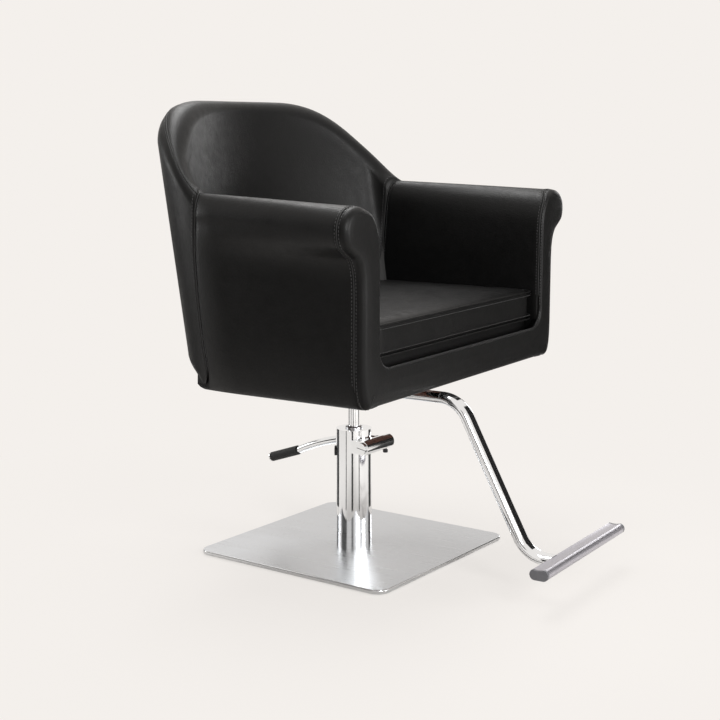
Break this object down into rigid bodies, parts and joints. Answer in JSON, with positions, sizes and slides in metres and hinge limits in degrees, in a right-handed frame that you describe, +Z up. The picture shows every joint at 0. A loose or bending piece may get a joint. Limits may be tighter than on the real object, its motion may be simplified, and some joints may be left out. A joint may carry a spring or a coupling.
{
  "type": "styling chair",
  "caption": "Hydraulic styling chair with a padded tub seat, outward rolled arms, a loose-look box cushion, a pump column with foot lever, a square plate base and a T-bar footrest.",
  "frame": {"origin": "on the swivel axis at floor level, under the middle of the base plate; the glides stand on z = 0", "axes": "+Z up along the column; -Y is the way the sitter faces; +X is the sitter's left"},
  "size_m": [0.848, 0.8234, 0.9],
  "materials": {
    "stainless": "brushed satin",
    "ballast_steel": "matt paint",
    "black_rubber": "matt",
    "chrome": "bright polish",
    "zinc": "zinc plated",
    "black_steel": "black oxide",
    "cast": "painted",
    "bearing": "turned",
    "ply": "raw",
    "brown_board": "sealed",
    "leatherette": "semi-gloss pebble grain",
    "foam": "lined foam",
    "satin_metal": "satin top, polished edge",
    "grey_plastic": "satin"
  },
  "bodies": {
    "root": {"base_cover": "stainless", "base_ballast": "ballast_steel", "floor_glides": "black_rubber", "base_bolts": "zinc", "base_collar": "chrome", "pump_foot": "cast", "column_tube": "chrome", "pump_head": "chrome", "inner_cylinder": "zinc", "rod_bushing": "bearing", "rod_wiper": "black_rubber", "shaft_plug_screw": "zinc", "lever_stop_pad": "black_rubber", "plunger_sleeve": "bearing"},
    "piston": {"piston_rod": "chrome", "piston_head": "zinc", "piston_seals": "black_rubber"},
    "seat": {"cone_socket": "cast", "seat_plate": "ballast_steel", "plate_bolts": "zinc", "underside_board": "brown_board", "seat_frame": "ply", "arm_frame_left": "ply", "arm_frame_right": "ply", "back_frame": "ply", "frame_screws": "zinc", "seat_deck": "foam", "front_rail": "leatherette", "left_arm": "leatherette", "right_arm": "leatherette", "back_shell": "leatherette", "back_pad": "leatherette", "seat_cushion": "leatherette", "strut_saddle": "ballast_steel", "footrest_strut": "chrome", "strut_bolts": "zinc", "t_bar": "satin_metal", "t_bar_cap_left": "grey_plastic", "t_bar_cap_right": "grey_plastic"},
    "lever": {"rocker_shaft": "zinc", "pump_cam": "cast", "lever_hub": "chrome", "clamp_bolt": "black_steel", "lever_arm": "chrome", "lever_grip": "black_rubber", "grip_cap": "chrome"},
    "plunger": {"pump_plunger": "zinc"}
  },
  "joints": [
    {"name": "seat_lift", "type": "slide", "parent": "root", "child": "piston", "axis": [0, 0, 1], "range_m": [0, 0.13]},
    {"name": "seat_swivel", "type": "hinge", "parent": "piston", "child": "seat", "pos_m": [0, 0, 0.34], "axis": [0, 0, 1], "continuous": true},
    {"name": "lever_press", "type": "hinge", "parent": "root", "child": "lever", "pos_m": [-2.35512, -44.93833, 0.219], "axis": [-0.9986, 0.0523, 0], "range_deg": [0, 18], "stiffness_Nm_per_rad": 4, "springref_deg": -20.05},
    {"name": "plunger_push", "type": "slide", "parent": "root", "child": "plunger", "axis": [0, 0, -1], "range_m": [0, 0.0063]}
  ],
  "couplings": [
    {"joint": "plunger_push", "follows": "lever_press", "m_per_rad": 0.0195}
  ]
}
